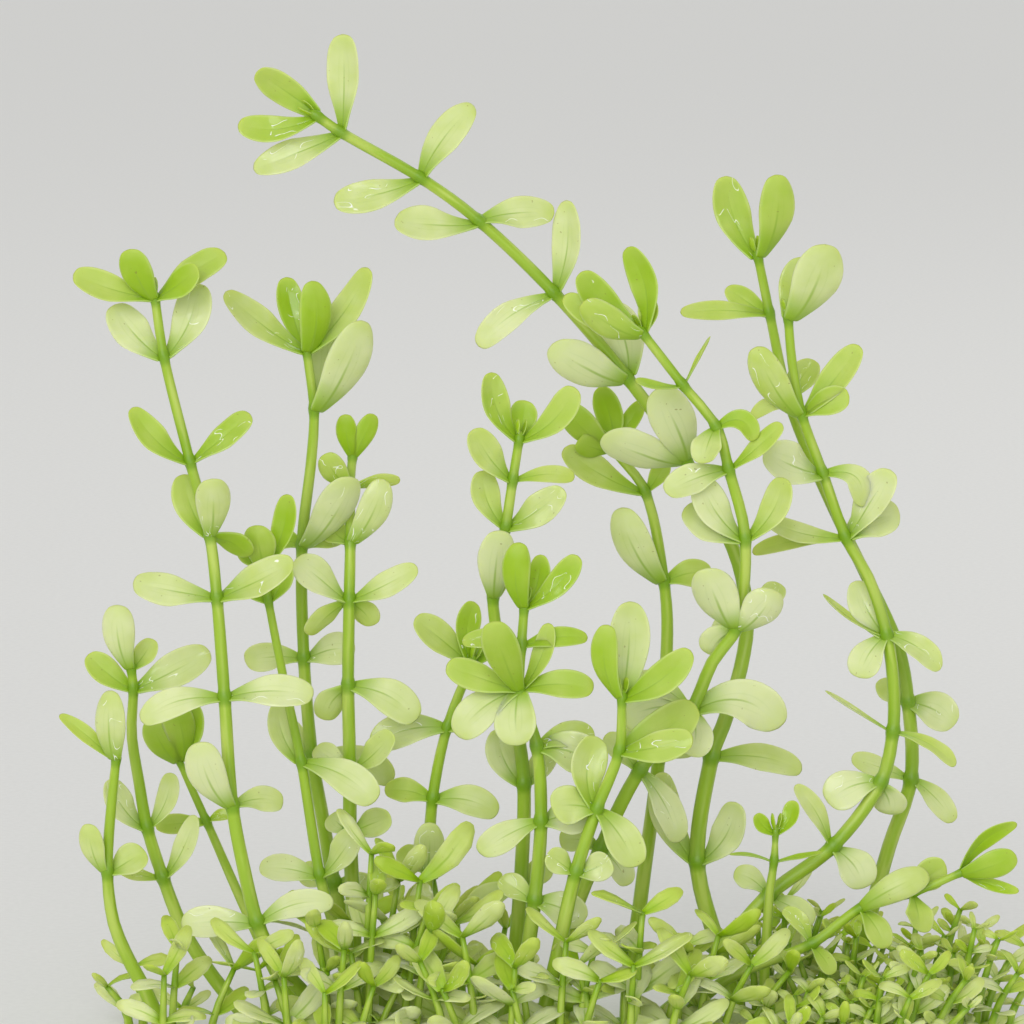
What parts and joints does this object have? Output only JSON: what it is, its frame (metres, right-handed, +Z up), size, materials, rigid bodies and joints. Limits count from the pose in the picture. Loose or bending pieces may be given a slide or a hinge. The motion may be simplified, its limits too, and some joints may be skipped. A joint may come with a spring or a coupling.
{
  "type": "water hyssop",
  "caption": "Clump of water hyssop: pale green stems with pairs of fleshy, rounded leaves, rising and arching out of a low mat, cut off flat at the ground.",
  "frame": {"origin": "middle of the clump's underside, on the surface it rests on", "axes": "+Z up along the stems, +X to the right and -Y towards the viewer as in the reference view"},
  "size_m": [0.1373, 0.0484, 0.145],
  "materials": {
    "stem": "smooth, slightly glossy fleshy green stem",
    "leaf": "wet, glossy, pale yellow-green fleshy leaf",
    "mat": "glossy green young leaf and stem"
  },
  "bodies": {
    "root": {"back_creeping_stem": "stem", "back_right_leaf_01": "leaf", "back_right_stem": "stem", "front_middle_leaf_01": "leaf", "front_middle_stem": "stem", "front_right_leaf_01": "leaf", "front_right_leaf_02": "leaf", "front_right_stem": "stem", "inner_right_leaf_01": "leaf", "inner_right_stem": "stem", "left_branching_stem": "stem", "left_creeping_stem": "stem", "left_middle_stem": "stem", "left_tall_stem": "stem", "long_arching_leaf_01": "leaf", "long_arching_leaf_02": "leaf", "long_arching_leaf_03": "leaf", "long_arching_leaf_04": "leaf", "long_arching_leaf_05": "leaf", "long_arching_leaf_06": "leaf", "long_arching_leaf_07": "leaf", "long_arching_stem": "stem", "low_left_stem": "stem", "middle_creeping_stem": "stem", "middle_stem": "stem", "right_creeping_stem": "stem", "second_arching_leaf_01": "leaf", "second_arching_leaf_02": "leaf", "second_arching_stem": "stem", "second_tall_leaf_01": "leaf", "second_tall_leaf_02": "leaf", "second_tall_leaf_03": "leaf", "second_tall_leaf_04": "leaf", "second_tall_stem": "stem", "short_left_stem": "stem", "short_shoot_01": "mat", "short_shoot_02": "mat", "short_shoot_03": "mat", "short_shoot_04": "mat", "short_shoot_05": "mat", "short_shoot_06": "mat", "short_shoot_07": "mat", "short_shoot_08": "mat", "short_shoot_09": "mat", "short_shoot_10": "mat", "short_shoot_11": "mat", "short_shoot_12": "mat", "short_shoot_13": "mat", "short_shoot_14": "mat", "short_shoot_15": "mat", "short_shoot_16": "mat", "short_shoot_17": "mat", "short_shoot_18": "mat", "short_shoot_19": "mat", "short_shoot_20": "mat", "small_sprout": "stem", "tall_right_leaf_01": "leaf", "tall_right_stem": "stem", "thin_side_stem": "stem", "third_stem": "stem"}
  },
  "joints": []
}
